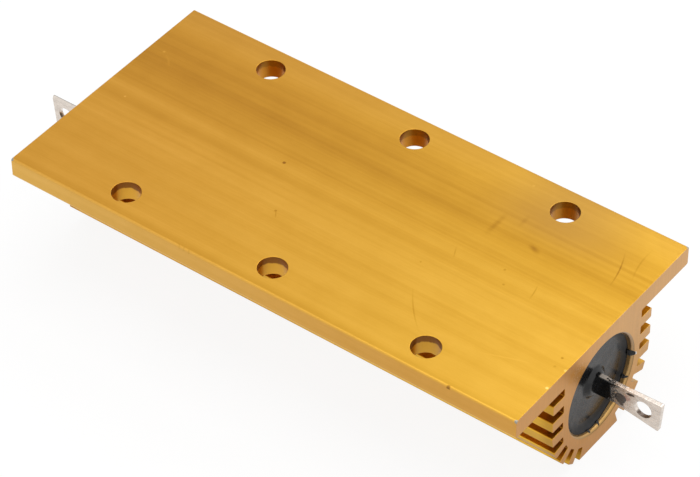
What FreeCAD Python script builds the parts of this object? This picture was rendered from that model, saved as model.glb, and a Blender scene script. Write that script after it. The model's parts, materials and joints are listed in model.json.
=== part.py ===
import FreeCAD, Part
import math
import os

# Aluminium housed wirewound power resistor, lying on its crown with its mounting face up.
# X runs along the body, Y across it, +Z out of the mounting face; the origin is on the
# surface it lies on, under the middle of the body. All sizes are in millimetres.

V = FreeCAD.Vector

# Housing: one length of finned aluminium extrusion
body_length = 97.5
plate_width = 46.6
plate_thickness = 3.6
bore_radius = 8.55
bore_chamfer = 0.5           # at both mouths of the bore
roof_wall = 2.95             # metal between the bore and the mounting face
crown_wall = 3.45            # metal between the bore and the flat crown
slot_floor_wall = 1.9        # metal between the bore and the floors of the level slots
fan_floor_wall = 2.15        # the same behind the fanned slots
fin_length = 2.9             # depth of a level slot, from its floor to the fin tips
fin_thickness = 1.95
wide_slot = 1.65             # the two slots nearest the plate
narrow_slot = 1.35           # the level slot below them
wide_slot_count = 2
fan_slot_count = 4
fan_slot_width = 1.28        # at the floor of the slot
fan_flare = 7.0              # degrees each wall of a fanned slot opens outwards
fan_first_angle = 18.0       # degrees below level of the first fanned slot's floor
fan_angle_step = 14.5
fan_first_lean = 7.0         # degrees below level that the first fanned slot points
fan_lean_step = 19.3
slot_corner_radius = 0.2
fin_tip_radius = 0.25        # the two edges of the flat crown are left sharp
plate_edge_radius = 0.35

# Mounting holes: two rows of three through the plate
hole_radius = 2.4
hole_pitch_x = 29.0
hole_pitch_y = 37.0
holes_per_row = 3

# Wound element, moulded into the bore
element_inset = 8.0          # from the housing's end face to the cap's end
core_radius = 5.0
core_hole_radius = 2.0
cap_wall = 0.6
cap_end_thickness = 0.8
cap_skirt = 6.0
ribbon_thickness = 0.35
ribbon_width = 2.4
ribbon_pitch = 6.8
ribbon_lap = 2.0             # how far the winding runs onto each cap

# Silicone moulding: each end is dished, with a low collar round the terminal
rim_setback = 0.1            # from the foot of the bore's chamfer to the moulding's rim
dish_depth = 0.9             # from the rim to the flat of the dish
dish_wall_width = 1.25       # across the hollow wall that climbs from the flat to the rim
dish_wall_bow = 14.0         # degrees between the wall's arc and its chord at both ends
collar_foot_radius = 2.5
collar_top_radius = 1.3
collar_height = 0.8

# Terminals: flat tinned strips that widen to a pierced blade
terminal_thickness = 0.8
stem_width = 3.9
blade_width = 5.6
neck_reach = 2.5             # from the housing's end face to where the strip starts to widen
terminal_hole_radius = 1.5
tip_corner_radius = 0.25
right_reach = 10.85          # from the housing's end face to the right blade's tip
right_hole_setback = 3.1     # from the hole's centre to the tip
right_rise = 0.2             # how far the right strip sits above the bore's axis
right_sag = 4.2              # degrees that the right blade is bent towards the crown
left_reach = 11.4
left_hole_setback = 2.5
left_rise = 0.6
left_sag = 5.5
left_tip_skew = 0.5          # how much further the left blade's far face runs, cut askew

# Heights and radii that follow from the sizes above
axis_height = crown_wall + bore_radius
body_height = axis_height + bore_radius + roof_wall
plate_underside = body_height - plate_thickness
slot_floor = bore_radius + slot_floor_wall
fan_floor = bore_radius + fan_floor_wall
fin_reach = slot_floor + fin_length
cap_outer_end = body_length / 2 - element_inset
cap_inner_wall = cap_outer_end - cap_end_thickness
cap_rim = cap_inner_wall - cap_skirt
winding_radius = core_radius + ribbon_thickness
winding_end = cap_rim + ribbon_lap
moulding_rim = body_length / 2 - bore_chamfer - rim_setback
dish_flat = moulding_rim - dish_depth


def rounded_outline(corners, place):
    """Closed wire through (a, b, radius) corners, each rounded by an arc tangent to its sides.

    place turns a flat (a, b) point into a point in space.
    """
    count = len(corners)
    passes = []
    edges = []
    for i in range(count):
        before = corners[i - 1]
        here = corners[i]
        after = corners[(i + 1) % count]
        corner = V(here[0], here[1], 0)
        if here[2] == 0:
            passes.append((corner, corner))
            continue
        to_before = V(before[0] - here[0], before[1] - here[1], 0)
        to_after = V(after[0] - here[0], after[1] - here[1], 0)
        half_turn = to_before.getAngle(to_after) / 2
        room = 0.45 * min(to_before.Length, to_after.Length)
        setback = min(here[2] / math.tan(half_turn), room)
        radius = setback * math.tan(half_turn)
        to_before.normalize()
        to_after.normalize()
        enter = corner + to_before * setback
        leave = corner + to_after * setback
        inwards = (to_before + to_after).normalize()
        middle = corner + inwards * (radius / math.sin(half_turn) - radius)
        passes.append((enter, leave))
        edges.append(Part.Arc(place(enter), place(middle), place(leave)).toShape())
    for i in range(count):
        leave = passes[i][1]
        enter_next = passes[(i + 1) % count][0]
        edges.append(Part.makeLine(place(leave), place(enter_next)))
    return Part.Wire(Part.__sortEdges__(edges))


def turned(direction, degrees):
    """Flat direction (across, down) turned downwards by an angle."""
    angle = math.radians(degrees)
    across = direction[0] * math.cos(angle) - direction[1] * math.sin(angle)
    down = direction[0] * math.sin(angle) + direction[1] * math.cos(angle)
    return across, down


def meets_fin_circle(point, direction):
    """Where a line from a point beside the bore's axis crosses the circle of the fin tips."""
    along = point[0] * direction[0] + point[1] * direction[1]
    inside = fin_reach ** 2 - point[0] ** 2 - point[1] ** 2
    travel = -along + math.sqrt(along ** 2 + inside)
    return point[0] + travel * direction[0], point[1] + travel * direction[1]


def meets_crown(point, direction):
    """Where a line from a point beside the bore's axis crosses the crown's flat."""
    drop = axis_height - point[1]
    return point[0] + drop * direction[0] / direction[1], axis_height


def level_slot_corners():
    """Corners of the level slots and fins on the +Y side, from the plate down."""
    corners = []
    upper = plate_underside
    widths = [wide_slot] * wide_slot_count + [narrow_slot]
    for number, width in enumerate(widths):
        if number > 0:
            corners.append((fin_reach, upper, fin_tip_radius))
        corners.append((slot_floor, upper, slot_corner_radius))
        corners.append((slot_floor, upper - width, slot_corner_radius))
        corners.append((fin_reach, upper - width, fin_tip_radius))
        upper = upper - width - fin_thickness
    return corners


def fan_slot_corners():
    """Corners of the fanned slots on the +Y side, from the level fins round to the crown."""
    corners = []
    for number in range(fan_slot_count):
        floor_at = turned((fan_floor, 0.0), fan_first_angle + number * fan_angle_step)
        lean = fan_first_lean + number * fan_lean_step
        across = turned((0.0, 1.0), lean)
        half = fan_slot_width / 2
        upper_root = (floor_at[0] - across[0] * half, floor_at[1] - across[1] * half)
        lower_root = (floor_at[0] + across[0] * half, floor_at[1] + across[1] * half)
        upper_mouth = meets_fin_circle(upper_root, turned((1.0, 0.0), lean - fan_flare))
        lower_way = turned((1.0, 0.0), lean + fan_flare)
        lower_tip_radius = fin_tip_radius
        if number < fan_slot_count - 1:
            lower_mouth = meets_fin_circle(lower_root, lower_way)
        else:
            lower_mouth = meets_crown(lower_root, lower_way)
            lower_tip_radius = 0.0
        corners.append((upper_mouth[0], axis_height - upper_mouth[1], fin_tip_radius))
        corners.append((upper_root[0], axis_height - upper_root[1], slot_corner_radius))
        corners.append((lower_root[0], axis_height - lower_root[1], slot_corner_radius))
        corners.append((lower_mouth[0], axis_height - lower_mouth[1], lower_tip_radius))
    return corners


def hole_places():
    """Centres (x, y) of the mounting holes."""
    places = []
    for column in range(holes_per_row):
        x = (column - (holes_per_row - 1) / 2) * hole_pitch_x
        for side in (-1, 1):
            places.append((x, side * hole_pitch_y / 2))
    return places


def make_housing():
    """Finned section swept along the body, with its chamfered bore and six mounting holes."""
    half = [(plate_width / 2, body_height, plate_edge_radius),
            (plate_width / 2, plate_underside, plate_edge_radius)]
    half += level_slot_corners() + fan_slot_corners()
    other_half = [(-y, z, radius) for y, z, radius in reversed(half)]

    def place(point):
        return V(-body_length / 2, point.x, point.y)

    outline = rounded_outline(half + other_half, place)
    section = Part.Face(outline)
    blank = section.extrude(V(body_length, 0, 0))
    housing = blank.cut(along_bore(bore_radius, -body_length / 2, body_length / 2))
    for side in ("left", "right"):
        mouth = Part.makeCone(bore_radius + bore_chamfer, bore_radius, bore_chamfer,
                              V(body_length / 2, 0, axis_height), V(-1, 0, 0))
        housing = housing.cut(to_side(mouth, side))
    for x, y in hole_places():
        hole = Part.makeCylinder(hole_radius, plate_thickness, V(x, y, plate_underside))
        housing = housing.cut(hole)
    return housing


def along_bore(radius, start, end):
    """Cylinder on the bore's axis between two places along the body."""
    return Part.makeCylinder(radius, end - start, V(start, 0, axis_height), V(1, 0, 0))


def make_core():
    """Steatite tube, stepped down at both ends so that the caps sit flush."""
    core = along_bore(core_radius, -cap_rim, cap_rim)
    core = core.fuse(along_bore(core_radius - cap_wall, -cap_inner_wall, cap_inner_wall))
    core = core.cut(along_bore(core_hole_radius, -cap_inner_wall, cap_inner_wall))
    return core.removeSplitter()


def make_cap(side):
    """Pressed metal cup over one end of the core."""
    cup = along_bore(core_radius, cap_rim, cap_outer_end)
    cup = cup.cut(along_bore(core_radius - cap_wall, cap_rim, cap_inner_wall))
    return to_side(cup, side)


def make_winding():
    """Resistance ribbon wound as an open helix from one cap to the other."""
    span = 2 * winding_end
    path = Part.makeHelix(ribbon_pitch, span, core_radius)
    low = -ribbon_width / 2
    high = ribbon_width / 2
    profile = Part.makePolygon([V(core_radius, 0, low), V(winding_radius, 0, low),
                                V(winding_radius, 0, high), V(core_radius, 0, high),
                                V(core_radius, 0, low)])
    ribbon = Part.Wire(path).makePipeShell([profile], True, True)
    ribbon.rotate(V(0, 0, 0), V(0, 1, 0), 90)
    ribbon.translate(V(-winding_end, 0, axis_height))
    return ribbon


def terminal_outline(reach, setback, rise, sag):
    """Corners of a terminal seen from the side, as (x, z, radius), and its hole's centre."""
    neck_x = body_length / 2 + neck_reach
    tip_x = body_length / 2 + reach
    middle = axis_height + rise
    half_stem = stem_width / 2
    half_blade = blade_width / 2

    def bent(x, offset):
        across, down = turned((x - neck_x, -offset), sag)
        return neck_x + across, middle - down

    upper_tip = bent(tip_x, half_blade)
    lower_tip = bent(tip_x, -half_blade)
    return [(cap_outer_end, middle - half_stem, 0.0),
            (neck_x, middle - half_stem, 0.0),
            (lower_tip[0], lower_tip[1], tip_corner_radius),
            (upper_tip[0], upper_tip[1], tip_corner_radius),
            (neck_x, middle + half_stem, 0.0),
            (cap_outer_end, middle + half_stem, 0.0)], bent(tip_x - setback, 0.0)


def make_terminal(side, reach, setback, rise, sag, tip_skew=0.0):
    """Flat strip from the end cap out to its pierced blade."""
    corners, hole_at = terminal_outline(reach + tip_skew, setback + tip_skew, rise, sag)

    def place(point):
        return V(point.x, -terminal_thickness / 2, point.y)

    blank = Part.Face(rounded_outline(corners, place)).extrude(V(0, terminal_thickness, 0))
    hole = Part.makeCylinder(terminal_hole_radius, terminal_thickness,
                             V(hole_at[0], -terminal_thickness / 2, hole_at[1]), V(0, 1, 0))
    strip = blank.cut(hole)
    if tip_skew > 0:
        strip = strip.cut(askew_offcut(reach, rise, sag, tip_skew))
    return to_side(strip, side)


def askew_offcut(reach, rise, sag, tip_skew):
    """Wedge that a slanting cut takes off the near side of a right terminal's tip."""
    tip_x = body_length / 2 + reach
    margin = blade_width / 2
    near = -terminal_thickness / 2
    plan = Part.makePolygon([V(tip_x, near, -blade_width), V(tip_x + tip_skew, -near, -blade_width),
                             V(tip_x + margin, -near, -blade_width),
                             V(tip_x + margin, near, -blade_width), V(tip_x, near, -blade_width)])
    wedge = Part.Face(plan).extrude(V(0, 0, 2 * blade_width))
    wedge.translate(V(0, 0, axis_height + rise))
    wedge.rotate(V(body_length / 2 + neck_reach, 0, axis_height + rise), V(0, 1, 0), sag)
    return wedge


def to_side(shape, side):
    """A piece made for the right end, or its mirror image for the left."""
    if side == "left":
        return shape.mirror(V(0, 0, 0), V(1, 0, 0))
    return shape


def make_dish(side):
    """What is missing from the moulding at one end: a flat dish with a hollow wall and a collar."""
    collar_top = dish_flat + collar_height

    def at(x, radius):
        return V(x, 0, axis_height + radius)

    foot = at(dish_flat, bore_radius - dish_wall_width)
    rim = at(moulding_rim, bore_radius)
    hollow = math.tan(math.radians(dish_wall_bow) / 2) / 2
    middle = (foot + rim) / 2 + V(-dish_wall_width, 0, dish_depth) * hollow
    inner = Part.makePolygon([foot, at(dish_flat, collar_foot_radius), at(collar_top, collar_top_radius),
                              at(collar_top, 0), at(body_length / 2, 0),
                              at(body_length / 2, bore_radius), rim])
    outline = Part.Wire(inner.Edges + [Part.Arc(rim, middle, foot).toShape()])
    dish = Part.Face(outline).revolve(V(0, 0, axis_height), V(1, 0, 0), 360)
    return to_side(dish, side)


def make_moulding(terminals):
    """Silicone cast round the element, filling the bore between its two dished ends."""
    winding_cavity_end = winding_end + ribbon_width / 2
    moulding = along_bore(bore_radius, -body_length / 2, body_length / 2)
    moulding = moulding.cut(make_dish("left")).cut(make_dish("right"))
    moulding = moulding.cut(along_bore(core_radius, -cap_outer_end, cap_outer_end))
    moulding = moulding.cut(along_bore(winding_radius, -winding_cavity_end, winding_cavity_end))
    for terminal in terminals:
        moulding = moulding.cut(terminal)
    return moulding


def build():
    """Every piece by the name of its node."""
    pieces = {"housing": make_housing(), "ceramic_core": make_core(),
              "resistance_winding": make_winding()}
    pieces["end_cap_left"] = make_cap("left")
    pieces["end_cap_right"] = make_cap("right")
    pieces["terminal_left"] = make_terminal("left", left_reach, left_hole_setback, left_rise,
                                            left_sag, left_tip_skew)
    pieces["terminal_right"] = make_terminal("right", right_reach, right_hole_setback, right_rise,
                                             right_sag)
    pieces["silicone_moulding"] = make_moulding([pieces["terminal_left"], pieces["terminal_right"]])
    return pieces


os.makedirs("parts", exist_ok=True)
for node, shape in build().items():
    shape.exportStep("parts/" + node + ".step")
    print(node, "solids", len(shape.Solids), "valid", shape.isValid(), "volume", round(shape.Volume, 1))
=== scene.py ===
"""Looks of an aluminium housed power resistor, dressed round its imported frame.

The housing lies on its flat crown with the drilled mounting plate on top.
X runs along the extrusion, Z is up, and the bore's axis lies in the plane Y = 0.
"""

import json
import math

import bmesh
import bpy
import numpy as np
from mathutils import Matrix, Vector


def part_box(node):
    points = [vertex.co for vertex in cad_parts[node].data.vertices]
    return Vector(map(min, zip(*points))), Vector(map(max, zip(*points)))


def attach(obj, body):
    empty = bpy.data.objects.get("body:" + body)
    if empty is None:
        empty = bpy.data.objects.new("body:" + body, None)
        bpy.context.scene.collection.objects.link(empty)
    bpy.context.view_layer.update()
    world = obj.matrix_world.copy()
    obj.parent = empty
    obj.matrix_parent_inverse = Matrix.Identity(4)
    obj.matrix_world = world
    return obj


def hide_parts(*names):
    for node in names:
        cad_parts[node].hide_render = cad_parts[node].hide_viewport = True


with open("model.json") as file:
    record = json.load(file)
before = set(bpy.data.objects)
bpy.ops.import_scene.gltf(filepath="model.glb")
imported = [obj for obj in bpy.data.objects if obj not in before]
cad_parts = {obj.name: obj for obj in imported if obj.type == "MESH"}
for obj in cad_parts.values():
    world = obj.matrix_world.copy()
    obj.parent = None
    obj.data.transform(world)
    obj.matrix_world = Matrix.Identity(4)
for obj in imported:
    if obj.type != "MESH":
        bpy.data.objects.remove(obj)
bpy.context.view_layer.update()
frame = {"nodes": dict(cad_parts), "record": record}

MM = 0.001

# Camera: where it stands, in mm from the middle of the floor under the housing, and its turns.
CAMERA_PLACE = (238.64, -313.27, 382.49)
CAMERA_AZIMUTH = 37.193
CAMERA_ELEVATION = 42.965
CAMERA_ROLL = -0.5557
CAMERA_LENS = 175.388
CAMERA_SENSOR = 36.0


def box_mm(node):
    """Lowest and highest corner of a CAD node, in mm."""
    low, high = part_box(node)
    return np.array(low) / MM, np.array(high) / MM


def mount(name):
    """The record's mount of that name."""
    return next(m for m in frame["record"]["mounts"] if m["name"] == name)


# Places on the housing and its moulding, in mm.
_, HOUSING_HIGH = box_mm("housing")
MOULDING_LOW, MOULDING_HIGH = box_mm("silicone_moulding")
END = float(HOUSING_HIGH[0])
SIDE = float(HOUSING_HIGH[1])
TOP = float(HOUSING_HIGH[2])
PLATE_UNDER = TOP - 3.6
BORE_CHAMFER = 0.5
AXIS = float(MOULDING_LOW[2] + MOULDING_HIGH[2]) / 2
BORE = float(MOULDING_HIGH[1])
RIM = float(MOULDING_HIGH[0])
HOLE_GRID = mount("corner_holes")["dims"]
HOLE_PITCH_X = HOLE_GRID["spacing_x_mm"] / 2
HOLE_ROW_Y = HOLE_GRID["spacing_y_mm"] / 2
HOLE_RADIUS = HOLE_GRID["hole_r_mm"]

# Moulding ends and strips, in mm.
DISH_DEPTH = 0.9
DISH_WALL = 1.55
SHRUNK = 0.35             # how far the rim has shrunk back on the +Y side
COLLAR_HEIGHT = 0.8
COLLAR_TOP = 1.8          # how far the collar round a strip stays at its height, from the axis
COLLAR_FOOT = 3.0         # and where it has come down to the dish
NECK = 2.5                # from the housing's end to where a strip starts to widen
STEM_WIDTH = 3.9
STEM_THICKNESS = 0.8
FILM_END = END + 2.1
FILM_THICKNESS = 0.07
STRIP_TOP = AXIS + 2.2    # the right strip's upper edge under its film
BLADE_TOP = 14.0          # and past the neck, up from the floor

# Silicone film on each strip: end, the strip's middle, how fast its upper and lower edges spread
# past the neck, and the seed of its torn end.
FILMS = (
    ("right", AXIS + 0.2, 0.03, 0.18, 4),
    ("left", AXIS + 0.6, 0.01, 0.20, 9))

# Torn flash at the bore's rim: end, angle from +Y, root and tip from the axis, width, thickness, bend.
FLASH = (
    ("right", -0.5, 8.35, 9.70, 1.10, 0.32, -0.6),
    ("right", -30.5, 8.40, 8.95, 0.60, 0.24, 0.2),
    ("right", -88.0, 8.40, 8.90, 0.60, 0.24, -0.2),
    ("right", -106.0, 8.40, 8.85, 0.70, 0.24, 0.2),
    ("left", 148.0, 8.40, 8.90, 0.70, 0.24, 0.1))

# Colours of the housing, linear.
GOLD = (0.605, 0.292, 0.027)
LIT_RIGHT_END_GOLD = (0.632, 0.345, 0.028)       # painted light: yellower towards the more brightly lit right end
SIDE_PAINTED_REFLECTION = (0.780, 0.440, 0.072)        # painted reflection on the plate's two long edges, towards the left end
RIGHT_SIDE_PAINTED_REFLECTION = (0.690, 0.350, 0.052)       # and towards the right end
WORN_HIGHLIT_LIP = (0.84, 0.48, 0.10)            # the upper corner of the long edges: worn, with a painted highlight
PAINTED_LIGHT_UNDERSIDE = (0.98, 0.72, 0.30)      # and their lower corner, painted lighter over the shade it reflects
SAWN_GOLD = (0.635, 0.333, 0.092)        # both cut ends
SAWN_SHADE = (0.595, 0.270, 0.040)       # painted shade on their half on the -Y side
# A darker, redder patch beside the bore on the right cut end.
SAWN_DARK_PATCH = (0.62, 0.260, 0.004)
SAWN_CHIP = (0.80, 0.66, 0.40)
SAWN_PIT = (0.40, 0.22, 0.08)
TURNED_GOLD = (0.46, 0.27, 0.085)        # the chamfer at the bore's mouth, low down
TURNED_GREY = (0.36, 0.23, 0.12)         # and high up
BORE_PAINTED_LIGHT = (0.62, 0.38, 0.14)           # the bore's wall beside the moulding, painted lighter over its shade
SHAFT_PAINTED_LIGHT = (0.775, 0.400, 0.036)       # painted light on the holes' walls at the left end, in the row on the -Y side
SHAFT_SHADE = (0.270, 0.098, 0.003)      # and painted shade in their top millimetre
FAR_SHAFT_PAINTED_LIGHT = (0.600, 0.245, 0.008)   # the same in the row on the +Y side
FAR_SHAFT_SHADE = (0.400, 0.180, 0.006)
VEIL = (0.333, 0.167, 0.051)             # the dull corner of the mounting face
BARE_METAL = (0.33, 0.31, 0.26)
GREEN_POWER = 1.37                       # where gold is darker, green falls by this power of its tone
BLUE_POWER = 4.6                         # and blue by this one

# Colours of the moulding and its film.
RUBBER = (0.005, 0.005, 0.0055)
DUST = (0.06, 0.055, 0.05)
PAINTED_EDGE_HIGHLIGHT = (0.22, 0.22, 0.21)              # a painted highlight along the film's upper edge
BARED_STRIP = (0.52, 0.46, 0.40)         # the strip's edge where the film has torn off
PALE_TIP = (0.80, 0.76, 0.70)            # the longest tongue's tip

# Colours of the strips and what is on them.
TINNED = (0.84, 0.755, 0.675)
DULLED = (0.50, 0.46, 0.42)              # next to the film
SMUDGED = (0.32, 0.29, 0.26)
FLUX = (0.42, 0.19, 0.15)
# A painted dark reflection of the strip's bend, near its upper edge.
PAINTED_BEND_REFLECTION = (0.035, 0.022, 0.016)
# A dark grey oval on the right strip's -Y face.
DARK_GREY_OVAL = (0.062, 0.060, 0.060)
FILM_SPECK = (0.014, 0.010, 0.008)
EYE_SHADE = (0.085, 0.042, 0.020)        # painted shade low in the hole's wall
EDGE_LINE = (0.16, 0.15, 0.14)

# Long bands that the extrusion die left on the mounting face: place across it in mm, and tone.
BANDS = (
    (-23.3, 0.92), (-21.0, 1.02), (-19.5, 1.00), (-17.6, 0.985), (-16.0, 1.03), (-14.0, 1.01),
    (-12.5, 0.98), (-9.5, 0.99), (-7.0, 1.02), (-4.2, 1.01), (-3.0, 0.97), (-1.4, 0.92),
    (0.0, 0.95), (1.2, 0.99), (2.0, 0.93), (3.2, 0.885), (4.4, 0.87), (5.2, 0.925),
    (7.0, 0.865), (8.0, 0.83), (8.8, 0.745), (9.6, 0.78), (11.5, 0.86), (12.5, 0.81),
    (14.2, 0.85), (16.2, 0.88), (18.5, 0.965), (20.5, 0.99), (22.0, 0.985), (23.3, 0.93))

# Scratches on the mounting face: start and end in mm, width, sideways bow, and how dark it is.
SCRATCHES = (
    ((41.6, 16.3), (43.8, 8.6), 0.20, 0.35, 0.34),
    ((44.7, 19.4), (45.9, 11.6), 0.25, -0.45, 0.13),
    ((21.9, 13.2), (21.9, 6.8), 0.70, 0.0, 0.16),
    ((25.0, 14.6), (25.1, 11.4), 0.60, 0.0, 0.11),
    ((28.6, 9.1), (31.2, 8.2), 0.75, 0.0, 0.24),
    ((19.9, -9.3), (26.1, -16.4), 0.20, -0.35, 0.18),
    ((19.9, 2.1), (21.1, -0.4), 0.18, 0.0, 0.16),
    ((34.9, 2.4), (35.6, -1.0), 0.18, 0.1, 0.22),
    ((35.4, -15.1), (44.5, -11.8), 0.22, 0.2, -0.08),
    ((-7.5, -7.9), (-6.5, -9.4), 0.16, 0.0, 0.20),
    ((-45.2, 11.2), (-42.8, 8.9), 0.30, 0.3, -0.08),
    ((-14.9, -22.8), (-14.4, -23.4), 0.14, 0.0, 0.30),
    ((-13.9, -22.8), (-13.5, -23.4), 0.14, 0.0, 0.25),
    ((-12.9, -22.9), (-12.5, -23.4), 0.14, 0.0, 0.30))

# Dots on the mounting face: place in mm, radius, and how dark it is.
DOTS = (
    ((-13.3, 1.7), 0.38, 0.50), ((-7.5, -8.0), 0.30, 0.28), ((28.9, 2.2), 0.28, 0.20),
    ((30.6, -0.6), 0.28, 0.18), ((17.5, -4.0), 0.24, 0.15), ((46.7, -8.4), 0.30, 0.28),
    ((46.8, -10.5), 0.30, 0.12), ((48.6, -10.3), 0.35, -0.35), ((48.4, -14.9), 0.35, -0.45),
    ((36.5, -23.3), 0.42, 0.65),
    ((-45.9, 11.7), 0.35, -0.16), ((-43.9, -0.8), 0.28, -0.20), ((21.6, 20.6), 0.32, -0.10))

# The dull corner of the mounting face, in mm: its middle and reach along X, and where it starts and
# is full across.
VEIL_X, VEIL_REACH = 30.0, 18.0
VEIL_START, VEIL_FULL = 8.0, 16.0

# A darker, redder patch on the right cut end beside the bore: the middle and strength of its two
# discs, and their radius. Chips gather round a place beside it.
DARK_PATCHES = (((END, -6.0, 19.8), 1.0), ((END, -8.4, 20.8), 0.7))
DARK_PATCH_RADIUS = 2.6
CHIPPED_PLACE = (END, -6.6, 20.4)
CHIPPED_RADIUS = 2.4

# Marks and a painted bend reflection on the right strip, in mm out from the housing's end and up from the
# floor.
FLUX_PLACE = (4.85, 12.6, 0.0)
# Where the painted dark reflection of the bend runs.
BEND_REFLECTION_START, BEND_REFLECTION_END = (4.3, 13.35), (6.4, 13.72)
OVAL_PLACE = (3.68, 11.9, 0.0)
OVAL_TAIL_START, OVAL_TAIL_END = (3.7, 11.6), (4.1, 10.2)

# Soft boxes: name, place and aim in mm, size in mm, and power.
LAMPS = (
    ("top soft box", (0, 0, 700), (0, 0, 0), 500, 1.6),
    ("back soft box", (60, 330, 380), (50, 0, 20), 220, 0.5))
ROOM_LIGHT = 0.55         # the studio's own light on the object, where 1 is white

# Corners of the plate where the colour has worn through, in mm.
WORN_CORNERS = ((END, -SIDE, TOP), (END, SIDE, TOP), (-END, -SIDE, TOP))
WORN_RADIUS = 0.62


def camera_turn():
    """Azimuth about Z, then the tilt down from the horizon, then the roll about the line of sight."""
    turn = Matrix.Rotation(math.radians(CAMERA_AZIMUTH), 4, "Z")
    turn @= Matrix.Rotation(math.radians(90.0 - CAMERA_ELEVATION), 4, "X")
    return turn @ Matrix.Rotation(math.radians(CAMERA_ROLL), 4, "Z")


def make_camera():
    """A long lens that looks down at the part from its right and -Y sides."""
    data = bpy.data.cameras.new("camera")
    data.lens = CAMERA_LENS
    data.sensor_width = CAMERA_SENSOR
    data.sensor_fit = "HORIZONTAL"
    data.clip_start = 0.01
    data.clip_end = 20.0
    camera = bpy.data.objects.new("camera", data)
    camera.matrix_world = Matrix.Translation(Vector(CAMERA_PLACE) * MM) @ camera_turn()
    bpy.context.scene.collection.objects.link(camera)
    bpy.context.scene.camera = camera


class Finish:
    """The nodes of one finish. Each method adds nodes and gives their output."""

    def __init__(self, name, tree=None):
        if tree is None:
            self.material = bpy.data.materials.new(name)
            self.material.use_nodes = True
            tree = self.material.node_tree
        self.tree = tree
        self.tree.nodes.clear()

    def add(self, kind, settings, wires, output=0):
        """A node of one kind. wires gives each input a socket to follow or a fixed value."""
        made = self.tree.nodes.new("ShaderNode" + kind)
        for key, value in settings.items():
            setattr(made, key, value)
        for key, value in wires.items():
            if isinstance(value, bpy.types.NodeSocket):
                self.tree.links.new(value, made.inputs[key])
            else:
                made.inputs[key].default_value = value
        return made.outputs[output]

    def calc(self, operation, *values):
        """Arithmetic on numbers and sockets."""
        return self.add("Math", {"operation": operation}, dict(enumerate(values)))

    def ray(self, kind):
        """1 for the rays of one kind."""
        return self.add("LightPath", {}, {}, "Is %s Ray" % kind)

    def scaled(self, vector, scale, turn=(0.0, 0.0, 0.0), shift=(0.0, 0.0, 0.0)):
        """A vector times its scale, then turned, then moved."""
        wires = {"Vector": vector, "Scale": scale, "Rotation": turn, "Location": shift}
        return self.add("Mapping", {}, wires)

    def axes(self, vector):
        """The three parts of a vector."""
        x = self.add("SeparateXYZ", {}, {"Vector": vector}, "X")
        node = x.node
        return x, node.outputs["Y"], node.outputs["Z"]

    def joined(self, x, y, z=0.0):
        """The vector with these three parts."""
        return self.add("CombineXYZ", {}, {"X": x, "Y": y, "Z": z})

    def noise(self, vector, scale, detail, rough, warp=0.0):
        """Noise at one scale, or at one for each axis."""
        if isinstance(scale, tuple):
            vector, scale = self.scaled(vector, scale), 1.0
        wires = {"Vector": vector, "Scale": scale, "Detail": detail, "Roughness": rough, "Distortion": warp}
        return self.add("TexNoise", {}, wires)

    def fade(self, value, low, high, start=0.0, end=1.0):
        """Goes smoothly from start to end while value goes from low to high."""
        wires = {"Value": value, "From Min": low, "From Max": high, "To Min": start, "To Max": end}
        return self.add("MapRange", {"interpolation_type": "SMOOTHSTEP"}, wires)

    def below(self, value, low, high):
        """1 where value is under low, falling smoothly to 0 at high."""
        return self.fade(value, low, high, 1.0, 0.0)

    def near(self, value, middle, reach):
        """1 where value is middle, falling smoothly to 0 at reach from it."""
        off = self.calc("ABSOLUTE", self.calc("SUBTRACT", value, middle))
        return self.below(off, 0.0, reach)

    def torn(self, mask, texture, strength):
        """A mask or a height that wanders with a noise, as far up as down."""
        return self.calc("MULTIPLY_ADD", self.calc("SUBTRACT", texture, 0.5), strength, mask)

    def both(self, *masks):
        """1 where all of the masks are 1: their product."""
        made = masks[0]
        for mask in masks[1:]:
            made = self.calc("MULTIPLY", made, mask)
        return made

    def most(self, *masks):
        """1 where any of the masks is 1: the largest of them."""
        made = masks[0]
        for mask in masks[1:]:
            made = self.calc("MAXIMUM", made, mask)
        return made

    def blend(self, share, first, second, way="MIX"):
        """Two colours or greys, mixed by share."""
        made = self.tree.nodes.new("ShaderNodeMix")
        made.data_type = "RGBA"
        made.blend_type = way
        colours = [s for s in made.inputs if s.type == "RGBA"]
        for socket, value in ((made.inputs[0], share), (colours[0], first), (colours[1], second)):
            if isinstance(value, bpy.types.NodeSocket):
                self.tree.links.new(value, socket)
            elif socket.type == "RGBA":
                parts = value if isinstance(value, tuple) else (value, value, value)
                socket.default_value = (*parts, 1.0)
            else:
                socket.default_value = value
        return [s for s in made.outputs if s.type == "RGBA"][0]

    def times(self, colour, red, green, blue):
        """A colour with each of its three parts multiplied."""
        return self.blend(1.0, colour, self.joined(red, green, blue), "MULTIPLY")

    def toned(self, colour, tone):
        """A colour made lighter or darker."""
        return self.times(colour, tone, tone, tone)

    def ramp(self, value, stops):
        """A grey that follows value through the stops, which are pairs of place and level."""
        made = self.tree.nodes.new("ShaderNodeValToRGB")
        made.color_ramp.interpolation = "EASE"
        elements = made.color_ramp.elements
        while len(elements) < len(stops):
            elements.new(0.5)
        for element, (spot, level) in zip(elements, stops):
            element.position = spot
            element.color = (level, level, level, 1.0)
        self.tree.links.new(value, made.inputs[0])
        return made.outputs["Color"]

    def bump(self, height):
        """Height is in mm."""
        return self.add("Bump", {}, {"Height": height, "Distance": MM, "Strength": 1.0})

    def length(self, vector):
        """Distance from the origin."""
        return self.add("VectorMath", {"operation": "LENGTH"}, {0: vector}, "Value")

    def distance(self, vector, point):
        """Distance from a fixed point."""
        return self.add("VectorMath", {"operation": "DISTANCE"}, {0: vector, 1: point}, "Value")

    def spot(self, vector, point, radius):
        """1 inside a round spot, falling to 0 at its edge."""
        return self.below(self.distance(vector, point), radius * 0.4, radius)

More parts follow.
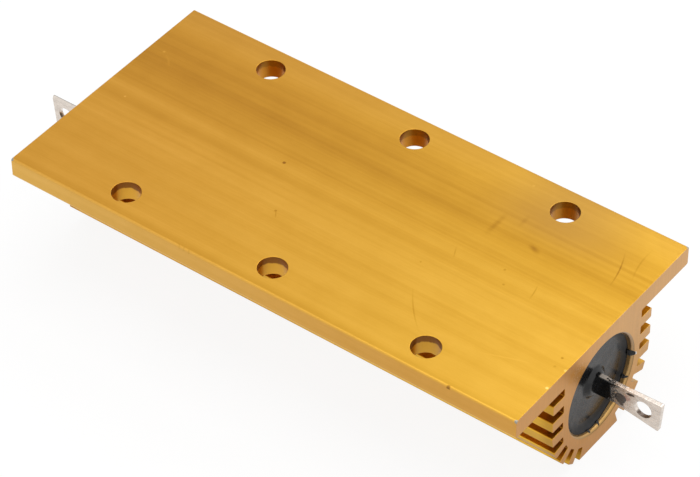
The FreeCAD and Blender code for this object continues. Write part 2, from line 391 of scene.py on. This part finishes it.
    def stroke(self, vector, start, end, width, bow):
        """A thin line from start to end, seen along Z, that bows sideways in its middle."""
        run, rise = end[0] - start[0], end[1] - start[1]
        turn = (0.0, 0.0, math.atan2(rise, run))
        wires = {"Vector": vector, "Location": (*start, 0.0), "Rotation": turn}
        along, across, _ = self.axes(self.add("Mapping", {"vector_type": "TEXTURE"}, wires))
        share = self.calc("DIVIDE", along, math.hypot(run, rise))
        arch = self.both(share, self.calc("SUBTRACT", 1.0, share), 4.0 * bow)
        off_line = self.calc("SUBTRACT", across, arch)
        return self.both(self.near(off_line, 0.0, width), self.near(share, 0.5, 0.58))

    def total(self, terms):
        """The sum of pairs of a mask and its weight."""
        made = 0.0
        for mask, weight in terms:
            made = self.calc("MULTIPLY_ADD", mask, weight, made)
        return made

    def end_in(self, kind, surface):
        """Joins surface to the output of a Material or a World."""
        out = self.tree.nodes.new("ShaderNodeOutput" + kind)
        self.tree.links.new(surface, out.inputs["Surface"])

    def shade(self, wires):
        """The material, with a Principled shader that takes wires by their sockets' names."""
        self.end_in("Material", self.add("BsdfPrincipled", {}, wires))
        return self.material


class PieceFinish(Finish):
    """A piece's finish, with the places that its patterns follow, in mm.

    here is the point on the piece, and x, y and z are its parts. off_middle is how far it
    lies from the middle of the housing's length.
    """

    def __init__(self, name):
        super().__init__(name)
        self.here = self.scaled(self.add("TexCoord", {}, {}, "Object"), (1.0 / MM,) * 3)
        self.x, self.y, self.z = self.axes(self.here)
        self.off_middle = self.calc("ABSOLUTE", self.x)

    def from_axis(self):
        """Distance to the bore's axis."""
        return self.length(self.joined(0.0, self.y, self.calc("SUBTRACT", self.z, AXIS)))


def die_bands(f):
    """The tone of the mounting face across its width, strongest towards the left end."""
    share = f.fade(f.y, -SIDE, SIDE)
    share.node.interpolation_type = "LINEAR"
    level = f.ramp(share, [((place + SIDE) / (2 * SIDE), tone / 2) for place, tone in BANDS])
    level = f.calc("MULTIPLY", level, 2.0)
    contrast = f.fade(f.x, -END, END, 1.12, 0.80)
    bands = f.calc("MULTIPLY_ADD", f.calc("SUBTRACT", level, 1.0), contrast, 1.0)
    leftwards = f.below(f.x, -END, 20.0)
    ridge = f.total((
        (f.near(f.y, 1.5, 1.0), 0.055), (f.near(f.y, 8.8, 1.6), 0.06), (f.near(f.y, 5.2, 2.4), -0.03)))
    return f.calc("MULTIPLY_ADD", ridge, leftwards, bands)


def striations(f):
    """Fine parallel lines, gathered in two zones and clearer towards the right end."""
    swing = f.fade(f.noise(f.here, (0.003, 1.25, 0.0), 1.0, 0.4), 0.32, 0.68, -1.0, 1.0)
    wide = f.both(f.near(f.y, 11.5, 6.5), f.fade(f.x, -40.0, 40.0, 0.25, 1.0))
    narrow = f.near(f.y, 3.6, 1.9)
    return f.calc("MULTIPLY", swing, f.total(((wide, 0.045), (narrow, 0.03))))


def mounting_face_marks(f):
    """How dark the scratches and dots make the mounting face."""
    flat = f.joined(f.x, f.y)
    terms = [(f.stroke(f.here, start, end, width, bow), depth) for start, end, width, bow, depth in SCRATCHES]
    terms += [(f.spot(flat, (*place, 0.0), radius), depth) for place, radius, depth in DOTS]
    return f.both(f.total(terms), f.fade(f.z, TOP - 0.6, TOP - 0.4))


def hole_distance(f):
    """Distance in plan to the nearest mounting hole's centre."""
    off_corner = f.calc("ABSOLUTE", f.calc("SUBTRACT", f.off_middle, HOLE_PITCH_X))
    off_x = f.calc("MINIMUM", f.off_middle, off_corner)
    off_y = f.calc("SUBTRACT", f.calc("ABSOLUTE", f.y), HOLE_ROW_Y)
    return f.length(f.joined(off_x, off_y))


def gold_skin(f, marks, textures):
    """Anodised gold: bands, lines and marks make it darker, and darker gold is redder.

    The mounting face has the die's bands, a dull corner and a duller far edge, and its
    long edges carry a paler, yellower painted reflection.
    """
    face = f.fade(f.z, TOP - 0.12, TOP - 0.03)
    tone = f.blend(face, 1.0, f.calc("ADD", die_bands(f), striations(f)))
    for texture, swing in textures:
        tone = f.calc("ADD", tone, f.fade(texture, 0.25, 0.75, -swing, swing))
    tone = f.calc("SUBTRACT", tone, marks)
    along = f.fade(f.x, -END, END)
    # The long side faces carry a painted reflection, paler than the mounting face.
    flank = f.both(
        f.fade(f.calc("ABSOLUTE", f.y), SIDE - 0.12, SIDE - 0.03),
        f.fade(f.z, TOP - 0.5, TOP - 0.3, 1.0, 0.6))
    # Painted light: the gold turns yellower towards the more brightly lit right end.
    gold = f.blend(along, GOLD, LIT_RIGHT_END_GOLD)
    gold = f.blend(flank, gold, f.blend(along, SIDE_PAINTED_REFLECTION, RIGHT_SIDE_PAINTED_REFLECTION))
    gold = f.times(gold, tone, f.calc("POWER", tone, GREEN_POWER), f.calc("POWER", tone, BLUE_POWER))
    corner = f.both(f.near(f.x, VEIL_X, VEIL_REACH), f.fade(f.y, VEIL_START, VEIL_FULL), 0.40)
    far_edge = f.fade(f.y, 17.0, 22.0, 0.0, 0.09)
    return f.blend(f.calc("MULTIPLY", face, f.most(corner, far_edge)), gold, VEIL)


def groove_shade(f, gold, from_axis):
    """Painted light and shade below the plate: gold is painted brighter away from the ends, and painted shade
    darkens the grooves at them.
    """
    grooved = f.both(f.below(from_axis, BORE + 1.6, BORE + 5.6), f.below(f.z, PLATE_UNDER - 0.3, PLATE_UNDER))
    inner = f.both(
        f.below(f.z, PLATE_UNDER - 0.3, PLATE_UNDER - 0.1), f.below(f.off_middle, END - 3.0, END - 0.5))
    # Painted shade in the grooves near the ends, and painted light further in.
    dim = f.calc("MULTIPLY_ADD", grooved, f.fade(f.off_middle, END - 4.0, END - 0.3, 0.0, -0.45), 1.0)
    dim = f.calc("MULTIPLY_ADD", inner, 0.28, dim)
    return f.times(gold, dim, f.calc("POWER", dim, 1.3), f.calc("POWER", dim, 2.0))


def long_edges(f, gold):
    """The corners of the plate's long edges: worn bright with a painted highlight above, and painted lighter
    below.
    """
    off_side = f.calc("ABSOLUTE", f.y)
    # Worn anodising and a painted highlight along the upper corner.
    lip = f.both(f.near(off_side, SIDE - 0.05, 0.45), f.near(f.z, TOP - 0.05, 0.45))
    gold = f.blend(f.calc("MULTIPLY", lip, f.fade(f.x, -END, END, 0.50, 0.25)), gold, WORN_HIGHLIT_LIP)
    # Painted light: the lower corner is lightened over the floor shadow that it reflects.
    under = f.both(f.fade(off_side, SIDE - 0.4, SIDE - 0.3), f.below(f.z, PLATE_UNDER, PLATE_UNDER + 0.5))
    return f.blend(f.calc("MULTIPLY", under, 0.8), gold, PAINTED_LIGHT_UNDERSIDE)


def hole_walls(f, gold):
    """The drilled walls, in painted light and shade: painted shade over a scalloped band at the top, painted
    light below it, and darker towards the right end.
    """
    drilled = f.both(
        f.below(hole_distance(f), HOLE_RADIUS + 0.01, HOLE_RADIUS + 0.04),
        f.fade(f.z, PLATE_UNDER - 0.3, PLATE_UNDER - 0.1))
    scallop = f.torn(f.z, f.noise(f.here, (0.9, 0.9, 0.2), 2.0, 0.6), 0.9)
    shaded = f.fade(scallop, TOP - 1.45, TOP - 1.15)
    row = f.fade(f.y, -5.0, 5.0)
    # Painted light low in the walls and painted shade at their top, different for each row.
    wall = f.blend(
        shaded, f.blend(row, SHAFT_PAINTED_LIGHT, FAR_SHAFT_PAINTED_LIGHT), f.blend(row, SHAFT_SHADE, FAR_SHAFT_SHADE))
    return f.blend(drilled, gold, f.toned(wall, f.fade(f.x, -10.0, 38.0, 1.0, 0.80)))


def sawn_end(f, cloud):
    """A cut end: paler, with painted shade that makes it redder and darker on the -Y side and low down, saw
    lines, a darker redder patch, chips and pits.
    """
    saw = f.noise(f.scaled(f.here, (0.0, 2.6, 0.10), turn=(0.12, 0.0, 0.0)), 1.0, 2.0, 0.5, warp=0.3)
    tone = f.calc("ADD", f.fade(saw, 0.3, 0.7, 0.965, 1.03), f.fade(cloud, 0.3, 0.7, -0.03, 0.03))
    # Painted shade: the floor's shadow as the end reflects it, on the -Y side and low down.
    across = f.calc("MULTIPLY", f.fade(f.y, -9.0, 6.0), f.fade(f.z, 0.0, 14.0, 0.55, 1.0))
    cut = f.toned(f.blend(across, SAWN_SHADE, SAWN_GOLD), tone)
    # Painted shade: darker and less blue towards the floor.
    cut = f.times(cut, *(f.fade(f.z, 4.0, 20.0, least, 1.0) for least in (0.90, 0.86, 0.60)))
    # A darker, redder patch beside the bore, in two ragged discs.
    discs = f.most(*(
        f.fade(f.distance(f.here, place), 0.0, DARK_PATCH_RADIUS, strength, 0.0) for place, strength in DARK_PATCHES))
    patch = f.fade(f.torn(discs, f.noise(f.here, 0.9, 3.0, 0.6), 1.6), 0.15, 0.95)
    cut = f.blend(f.calc("MULTIPLY", patch, 0.9), cut, SAWN_DARK_PATCH)
    chips = f.both(
        f.fade(f.noise(f.here, (0.0, 4.0, 4.0), 2.0, 0.6), 0.58, 0.64),
        f.most(f.fade(f.z, TOP - 0.5, TOP - 0.1), f.spot(f.here, CHIPPED_PLACE, CHIPPED_RADIUS)))
    cut = f.blend(f.calc("MULTIPLY", chips, 0.7), cut, SAWN_CHIP)
    pits = f.noise(f.scaled(f.here, (0.0, 2.6, 2.6), shift=(5.0, 0.0, 0.0)), 1.0, 2.0, 0.6)
    return f.blend(f.calc("MULTIPLY", f.fade(pits, 0.70, 0.76), 0.45), cut, SAWN_PIT)


def bore_mouth(f, colour, from_axis, cloud):
    """The turned chamfer at the bore's mouth, greyer higher up, and the bore's wall just inside it, painted
    lighter over its shade.
    """
    mouth = f.both(
        f.below(from_axis, BORE + BORE_CHAMFER, BORE + BORE_CHAMFER + 0.06),
        f.below(f.off_middle, END - 0.03, END - 0.01), f.fade(f.off_middle, RIM - 0.6, RIM - 0.5))
    grey = f.calc("MULTIPLY_ADD", cloud, 0.5, f.fade(f.z, 5.0, 17.0, -0.25, 0.75))
    turned = f.blend(grey, TURNED_GOLD, TURNED_GREY)
    # Painted light on the bore's wall, which lies in shade beside the moulding.
    turned = f.blend(f.below(from_axis, BORE + 0.02, BORE + 0.08), turned, BORE_PAINTED_LIGHT)
    return f.blend(mouth, colour, turned)


def worn_corners(f, colour):
    """Bare metal where three corners of the plate have been knocked."""
    near_corner = f.most(*(f.spot(f.here, corner, WORN_RADIUS) for corner in WORN_CORNERS))
    ragged = f.calc("MULTIPLY_ADD", f.noise(f.here, 2.5, 2.0, 0.6), 0.8, near_corner)
    return f.blend(f.fade(ragged, 0.85, 1.0), colour, BARE_METAL)


def housing_finish():
    """Gold anodised aluminium with drawing lines along X, and paler sawn ends."""
    f = PieceFinish("gold anodised aluminium")
    from_axis = f.from_axis()
    streaks = f.noise(f.here, (0.006, 0.55, 0.55), 3.0, 0.55)
    lines = f.noise(f.here, (0.012, 5.0, 5.0), 3.0, 0.7)
    grain = f.noise(f.here, (0.5, 3.0, 3.0), 2.0, 0.6)
    cloud = f.noise(f.here, 0.16, 3.0, 0.55)
    marks = mounting_face_marks(f)
    colour = gold_skin(f, marks, ((streaks, 0.035), (lines, 0.022), (grain, 0.012), (cloud, 0.02)))
    colour = hole_walls(f, long_edges(f, groove_shade(f, colour, from_axis)))
    colour = f.blend(f.fade(f.off_middle, END - 0.04, END - 0.01), colour, sawn_end(f, cloud))
    colour = worn_corners(f, bore_mouth(f, colour, from_axis, cloud))
    return f.shade({
        "Base Color": colour, "Metallic": 1.0, "Roughness": f.fade(lines, 0.2, 0.8, 0.33, 0.39),
        "Normal": f.bump(f.total(((lines, 0.004), (marks, -0.003), (grain, 0.002)))),
        "Coat Weight": 0.25, "Coat Roughness": 0.25, "Coat IOR": 1.55})


def moulding_finish():
    """Smooth black silicone with a little dust, with a painted highlight and torn film along the right
    strip's upper edge.
    """
    f = PieceFinish("black silicone")
    from_axis = f.from_axis()
    dust = f.fade(f.noise(f.here, 6.0, 2.0, 0.6), 0.66, 0.80)
    colour = f.blend(f.calc("MULTIPLY", dust, 0.2), RUBBER, DUST)
    past_rim = f.fade(f.off_middle, RIM + 0.1, RIM + 0.5)
    # A painted highlight along the right film's upper edge.
    highlighted_edge = f.both(
        past_rim, f.near(f.z, STRIP_TOP, 0.30), f.below(f.y, -0.40, -0.30),
        f.fade(f.noise(f.here, 1.5, 2.0, 0.6), 0.3, 0.6, 0.2, 0.9))
    colour = f.blend(highlighted_edge, colour, PAINTED_EDGE_HIGHLIGHT)
    torn = f.calc("ADD", f.noise(f.here, 1.9, 2.0, 0.6), f.fade(f.off_middle, END, END + 2.2, 0.25, -0.08))
    bared = f.both(
        past_rim, f.fade(f.z, STRIP_TOP - 0.08, STRIP_TOP),
        f.below(from_axis, COLLAR_FOOT, COLLAR_FOOT + 0.2), f.fade(torn, 0.50, 0.58))
    colour = f.blend(bared, colour, BARED_STRIP)
    tip = f.both(past_rim, f.fade(from_axis, BORE + 0.60, BORE + 0.80))
    colour = f.blend(tip, colour, PALE_TIP)
    rough = f.calc(
        "ADD", f.fade(f.noise(f.here, 0.8, 3.0, 0.6), 0.3, 0.7, 0.20, 0.30),
        f.fade(from_axis, BORE - DISH_WALL, BORE - 0.3, 0.0, 0.22))
    swell = f.calc("MULTIPLY", f.noise(f.here, 0.30, 2.0, 0.5), 0.05)
    return f.shade({"Base Color": colour, "Roughness": rough, "IOR": 1.41, "Normal": f.bump(swell)})


def strip_marks(f, colour, flat, fleck, blotch):
    """Flux, a painted dark reflection of the bend, and a dark grey oval on a strip's -Y face, and the oval's
    own mask.
    """
    face = f.below(f.y, -0.30, -0.20)
    flux = f.both(f.spot(flat, FLUX_PLACE, 0.8), f.fade(blotch, 0.3, 0.5))
    colour = f.blend(f.both(flux, face, 0.6), colour, FLUX)
    # Painted reflection: a dark streak where the strip bends, near its upper edge.
    bend_reflection = f.fade(f.torn(f.stroke(flat, BEND_REFLECTION_START, BEND_REFLECTION_END, 0.42, 0.06), fleck, 0.7), 0.25, 0.45)
    colour = f.blend(f.both(bend_reflection, face, 0.9), colour, PAINTED_BEND_REFLECTION)
    # A dark grey oval with a short tail on the strip's -Y face.
    oval = f.most(f.spot(flat, OVAL_PLACE, 1.40), f.stroke(flat, OVAL_TAIL_START, OVAL_TAIL_END, 0.62, 0.0))
    oval = f.both(f.fade(f.torn(oval, blotch, 1.4), 0.36, 0.52), face)
    return f.blend(f.calc("MULTIPLY", oval, 0.9), colour, DARK_GREY_OVAL), oval


def terminal_finish(side):
    """Solder-tinned strip: bright, warm and slightly wavy, dull and specked with film near the moulding.

    Its hole has painted shade low down, and its upper edge has a darker line. The right strip has more marks.
    """
    f = PieceFinish("solder-tinned strip, " + side)
    out = f.calc("SUBTRACT", f.off_middle, END)
    flat = f.joined(out, f.z)
    hole = mount("terminal_hole_" + side)
    eye = (abs(hole["pos_m"][0]) / MM - END, hole["pos_m"][2] / MM, 0.0)
    eye_radius = hole["dims"]["r_mm"]

    waves = f.noise(f.here, 0.7, 2.0, 0.5)
    wipes = f.noise(f.scaled(f.here, (0.5, 1.0, 2.6), turn=(0.0, 0.5, 0.0)), 1.0, 3.0, 0.6)
    fleck = f.noise(f.here, 3.1, 3.0, 0.65)
    blotch = f.noise(f.here, 1.3, 3.0, 0.6)

    tone = f.calc("ADD", f.fade(wipes, 0.3, 0.7, 0.84, 1.0), f.fade(blotch, 0.3, 0.7, -0.06, 0.03))
    colour = f.toned(TINNED, tone)
    dull = f.both(
        f.below(out, 3.3, 5.0), f.fade(out, 2.7, 3.9, 0.25, 1.0), f.fade(blotch, 0.2, 0.5, 0.5, 1.0))
    colour = f.blend(f.calc("MULTIPLY", dull, 0.85), colour, DULLED)
    smudge = f.both(f.below(out, 3.6, 6.6), f.fade(f.z, 10.8, 12.6, 1.0, 0.15), f.fade(blotch, 0.35, 0.65))
    colour = f.blend(f.calc("MULTIPLY", smudge, 0.75), colour, SMUDGED)
    oval = 0.0
    if side == "right":
        colour, oval = strip_marks(f, colour, flat, fleck, blotch)

    film = f.fade(f.calc("MULTIPLY_ADD", f.fade(out, 2.0, 3.4, 0.55, 0.25), 0.42, fleck), 0.66, 0.74)
    reach = f.calc("SUBTRACT", out, f.fade(f.z, BLADE_TOP - 0.4, BLADE_TOP))
    specks = f.both(film, f.below(reach, 2.9, 3.6))
    colour = f.blend(f.calc("MULTIPLY", specks, 0.95), colour, FILM_SPECK)
    # Painted shade low in the hole's wall.
    low_in_eye = f.both(
        f.below(f.distance(flat, eye), eye_radius + 0.02, eye_radius + 0.08),
        f.below(f.z, eye[1] - 1.2, eye[1] - 0.8))
    colour = f.blend(f.both(low_in_eye, f.fade(fleck, 0.62, 0.68, 0.93, 0.1)), colour, EYE_SHADE)
    edge_line = f.both(f.fade(f.z, BLADE_TOP, BLADE_TOP + 0.3), f.near(f.y, 0.36, 0.14))
    colour = f.blend(f.calc("MULTIPLY", edge_line, 0.7), colour, EDGE_LINE)

    unlike_metal = f.most(
        specks, f.calc("MULTIPLY", oval, 0.6), f.calc("MULTIPLY", low_in_eye, 0.8),
        f.calc("MULTIPLY", dull, 0.75))
    return f.shade({
        "Base Color": colour, "Metallic": f.calc("SUBTRACT", 1.0, unlike_metal),
        "Roughness": f.fade(wipes, 0.3, 0.7, 0.32, 0.20),
        "Normal": f.bump(f.total(((waves, 0.06), (wipes, 0.02), (specks, 0.04), (oval, 0.02))))})


def plain_finish(name, colour, metallic, roughness, grain):
    """A hidden piece's finish, with a fine grain."""
    f = PieceFinish(name)
    speck = f.noise(f.here, grain, 3.0, 0.6)
    return f.shade({
        "Base Color": f.toned(colour, f.fade(speck, 0.3, 0.7, 0.92, 1.05)),
        "Metallic": metallic, "Roughness": roughness, "Normal": f.bump(f.calc("MULTIPLY", speck, 0.01))})


def dress(node, finish):
    """Gives a CAD node's own mesh its finish."""
    piece = frame["nodes"][node]
    if not piece.material_slots:
        piece.data.materials.append(finish)
    for slot in piece.material_slots:
        slot.link = "OBJECT"
        slot.material = finish


def white_share(f, straight, off_gloss, through_glass):
    """How much of plain white the rays see that show the surroundings."""
    kinds = (("Camera", straight), ("Glossy", off_gloss), ("Transmission", through_glass))
    return f.most(*(f.calc("MULTIPLY", f.ray(kind), share) for kind, share in kinds))


def make_world():
    """A white studio that shows as plain white, with a mirror image that is dimmer to one side."""
    world = bpy.data.worlds.new("studio")
    world.use_nodes = True
    bpy.context.scene.world = world
    f = Finish("studio", world.node_tree)
    across, _, _ = f.axes(f.add("TexCoord", {}, {}, "Generated"))
    mirrored = f.fade(across, -0.75, -0.15, 0.72, 1.30)
    level = f.fade(white_share(f, 1.0, 1.0, 1.0), 0.0, 1.0, ROOM_LIGHT, 1.0)
    level = f.calc("MULTIPLY", level, f.fade(f.ray("Glossy"), 0.0, 1.0, 1.0, mirrored))
    f.end_in("World", f.add("Background", {}, {"Color": (1.0, 1.0, 1.0, 1.0), "Strength": level}))


def make_floor():
    """A wide pale floor, in metres, that shows as white and keeps a faint shadow."""
    reach = 3.0
    under = -5e-5
    mesh = bpy.data.meshes.new("floor")
    corners = [(-reach, -reach, under), (reach, -reach, under), (reach, reach, under), (-reach, reach, under)]
    mesh.from_pydata(corners, [], [(0, 1, 2, 3)])
    floor = bpy.data.objects.new("floor", mesh)
    bpy.context.scene.collection.objects.link(floor)
    f = Finish("floor")
    matt = f.add("BsdfDiffuse", {}, {"Color": (0.90, 0.90, 0.90, 1.0)})
    white = f.add("Emission", {}, {"Color": (1.0, 1.0, 1.0, 1.0), "Strength": 1.04})
    share = white_share(f, 0.86, 0.45, 0.60)
    f.end_in("Material", f.add("MixShader", {}, {0: share, 1: matt, 2: white}))
    mesh.materials.append(f.material)


def make_lamp(name, place, aim, size, power):
    """A square soft box at place, in mm, facing aim."""
    data = bpy.data.lights.new(name, "AREA")
    data.size = size * MM
    data.energy = power
    lamp = bpy.data.objects.new(name, data)
    place, aim = Vector(place) * MM, Vector(aim) * MM
    turn = (aim - place).to_track_quat("-Z", "Y")
    lamp.matrix_world = Matrix.Translation(place) @ turn.to_matrix().to_4x4()
    bpy.context.scene.collection.objects.link(lamp)


def surface_of(name, grid, closed_ends=True):
    """A smooth mesh over a grid of points in mm, whose second axis closes on itself."""
    rows, around = grid.shape[:2]
    here = np.arange(rows * around).reshape(rows, around)
    after = np.roll(here, -1, axis=1)
    quads = np.stack([here[:-1], after[:-1], after[1:], here[1:]], axis=-1).reshape(-1, 4).tolist()
    if closed_ends:
        quads.append(here[0][::-1].tolist())
        quads.append(here[-1].tolist())
    mesh = bpy.data.meshes.new(name)
    mesh.from_pydata((grid.reshape(-1, 3) * MM).tolist(), [], quads)
    work = bmesh.new()
    work.from_mesh(mesh)
    bmesh.ops.remove_doubles(work, verts=work.verts, dist=1e-7)
    bmesh.ops.recalc_face_normals(work, faces=work.faces)
    work.to_mesh(mesh)
    work.free()
    mesh.shade_smooth()
    piece = bpy.data.objects.new(name, mesh)
    bpy.context.scene.collection.objects.link(piece)
    return piece


def eased(value, low, high):
    """0 below low, 1 above high, and smooth between them."""
    share = np.clip((value - low) / (high - low), 0.0, 1.0)
    return share * share * (3.0 - 2.0 * share)


def belongs(piece, node, finish):
    """Makes a piece part of the body, with its finish, and in a node's place if one is named."""
    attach(piece, "root")
    piece.data.materials.clear()
    piece.data.materials.append(finish)
    if node:
        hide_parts(node)


def soft_edged(node, width, angle):
    """A copy of a CAD node whose edges sharper than angle, in degrees, are rounded over width, in mm."""
    work = bmesh.new()
    work.from_mesh(frame["nodes"][node].data)
    bmesh.ops.remove_doubles(work, verts=work.verts, dist=1e-6)
    bmesh.ops.dissolve_limit(work, angle_limit=math.radians(0.5), verts=work.verts, edges=work.edges)
    mesh = bpy.data.meshes.new(node + "_soft")
    work.to_mesh(mesh)
    work.free()
    # The CAD mesh's own shading would show beside the rounded edges.
    for old in ("custom_normal", "sharp_edge", "sharp_face"):
        if old in mesh.attributes:
            mesh.attributes.remove(mesh.attributes[old])
    mesh.shade_smooth()
    piece = bpy.data.objects.new(node + "_soft", mesh)
    bpy.context.scene.collection.objects.link(piece)
    bevel = piece.modifiers.new("edges", "BEVEL")
    bevel.width = width * MM
    bevel.segments = 3
    bevel.limit_method = "ANGLE"
    bevel.angle_limit = math.radians(angle)
    # Clamping would shrink all of the housing's bevels to suit its shortest edges.
    bevel.use_clamp_overlap = node != "housing"
    weighted = piece.modifiers.new("flats", "WEIGHTED_NORMAL")
    weighted.keep_sharp = True
    return piece


def shrunk(angle):
    """How far the moulding's rim lies behind the bore's chamfer, most on the +Y side."""
    return SHRUNK * eased(np.cos(angle + 0.1), -0.1, 0.7)


def silicone_fill():
    """The whole moulding turned about the bore's axis, dished at both ends.

    Going out from the axis, its end is a bell that climbs the strip, then flat, then
    a quarter of an ellipse up to the rim, with a swell of a few hundredths of a mm.
    """
    reach = np.concatenate([
        np.linspace(0.0, COLLAR_FOOT, 34), np.linspace(COLLAR_FOOT + 0.2, BORE - DISH_WALL - 0.1, 14),
        BORE - DISH_WALL * np.cos(np.linspace(0.0, 1.0, 26) * math.pi / 2)])
    around = np.linspace(0.0, 2.0 * math.pi, 160, endpoint=False)
    radius, angle = np.meshgrid(reach, around, indexing="ij")
    wall = np.clip((radius - BORE + DISH_WALL) / DISH_WALL, 0.0, 1.0)
    rim = shrunk(angle)
    depth = rim + (DISH_DEPTH - rim) * np.sqrt(1.0 - wall * wall)
    depth -= COLLAR_HEIGHT * (1.0 - eased(radius, COLLAR_TOP, COLLAR_FOOT))
    swell = 0.02 * np.sin(3 * angle + 0.7) * eased(radius, 1.0, 4.0) * (1.0 - eased(radius, 6.5, BORE))
    place = RIM - depth + swell
    y, z = radius * np.cos(angle), AXIS + radius * np.sin(angle)
    left, right = (np.stack([way * place, y, z], axis=-1) for way in (-1, 1))
    return surface_of("silicone_fill", np.concatenate([left, right[::-1]]), closed_ends=False)


def rubber_film(side, middle, upper_slope, lower_slope, seed):
    """Silicone crept along a strip: a thin sleeve round its section that ends in uneven tongues.

    Each line of the sleeve runs from inside the moulding to an end that wanders with the
    place round the section as a sum of sines, and its thickness falls to almost nothing there.
    The section is a rectangle with slightly rounded corners, which widens past the neck, and
    a core just inside the strip's surface closes the sleeve.
    """
    way = 1.0 if side == "right" else -1.0
    around = np.linspace(0.0, 2.0 * math.pi, 240, endpoint=False)
    share = np.linspace(0.0, 1.0, 30)
    random = np.random.default_rng(seed)
    ends = np.full(around.shape, FILM_END)
    for count in (2, 3, 5, 8, 13, 21, 34):
        swing = random.uniform(0.5, 1.0) * 0.55 / count ** 0.55
        ends += swing * np.sin(count * around + random.uniform(0.0, 6.28))
    ends = np.clip(ends, FILM_END - 0.5, FILM_END + 1.3)
    start = RIM - 0.9
    x = start + (ends[None, :] - start) * share[:, None]
    ripple = 1.0 + 0.25 * np.sin(7 * around + 2.0)
    thick = FILM_THICKNESS * np.sqrt(1.0 - share ** 2)[:, None] * ripple + 0.012
    past_neck = np.clip(x - END - NECK, 0.0, None)
    high = STEM_WIDTH / 2 + past_neck * upper_slope + thick
    low = STEM_WIDTH / 2 + past_neck * lower_slope + thick
    roundness = 0.20  # 0 would be a sharp rectangle, and 1 an ellipse
    flat_y = np.sign(np.cos(around)) * np.abs(np.cos(around)) ** roundness
    flat_z = np.sign(np.sin(around)) * np.abs(np.sin(around)) ** roundness
    spread = STEM_THICKNESS / 2 + thick
    z = middle + np.where(flat_z > 0.0, high, low) * flat_z
    outside = np.stack([way * x, flat_y * spread, z], axis=-1)
    core_y = np.broadcast_to(flat_y * (STEM_THICKNESS / 2 - 0.1), x.shape)
    core_z = np.broadcast_to(middle + flat_z * (STEM_WIDTH / 2 - 0.1), x.shape)
    core = np.stack([way * x, core_y, core_z], axis=-1)
    sleeve = np.concatenate([outside, core[::-1], outside[:1]])
    return surface_of("silicone_film_" + side, sleeve, closed_ends=False)


def flash_tongue(name, side, turn, root, tip, width, thickness, bend):
    """A torn tongue of moulding flash that lies over the bore's rim, pointed and slightly bent.

    Its section is an ellipse that narrows towards the tip, and it climbs from the
    shrunken rim to the bore's chamfer and up that as it goes outwards.
    """
    way = 1.0 if side == "right" else -1.0
    share = np.linspace(0.0, 1.0, 28)[:, None]
    around = np.linspace(0.0, 2.0 * math.pi, 24, endpoint=False)[None, :]
    taper = np.sqrt(np.clip(1.0 - share ** 1.6, 0.0, 1.0)) * (1.0 + 0.16 * np.sin(9.0 * share + turn))
    radius = root + (tip - root) * share
    sideways = width / 2 * taper * np.cos(around) + bend * share ** 2
    climb = RIM - 0.05 + np.clip(radius - BORE + 0.1, 0.0, 0.62) * 1.05
    climb -= shrunk(math.radians(turn)) * (1.0 - eased(radius, root, BORE - 0.02))
    x = climb + thickness / 2 * (0.3 + 0.7 * taper) * np.sin(around)
    angle = math.radians(turn) + sideways / radius
    place = np.stack([way * x, radius * np.cos(angle), AXIS + radius * np.sin(angle)], axis=-1)
    return surface_of(name, place)


make_camera()
make_world()
make_floor()
for lamp in LAMPS:
    make_lamp(*lamp)

belongs(soft_edged("housing", 0.07, 50), "housing", housing_finish())
rubber = moulding_finish()
belongs(silicone_fill(), "silicone_moulding", rubber)
for film in FILMS:
    belongs(rubber_film(*film), None, rubber)
for number, (side, *tongue) in enumerate(FLASH):
    belongs(flash_tongue("flash_%d" % (number + 1), side, *tongue), None, rubber)
for side in ("left", "right"):
    belongs(soft_edged("terminal_" + side, 0.09, 40), "terminal_" + side, terminal_finish(side))
    dress("end_cap_" + side, plain_finish("plated steel cap", (0.62, 0.62, 0.60), 1.0, 0.35, 6.0))
dress("ceramic_core", plain_finish("unglazed steatite", (0.80, 0.77, 0.70), 0.0, 0.7, 8.0))
dress("resistance_winding", plain_finish("resistance ribbon", (0.45, 0.43, 0.40), 1.0, 0.4, 10.0))

bpy.context.scene.view_settings.view_transform = "Standard"
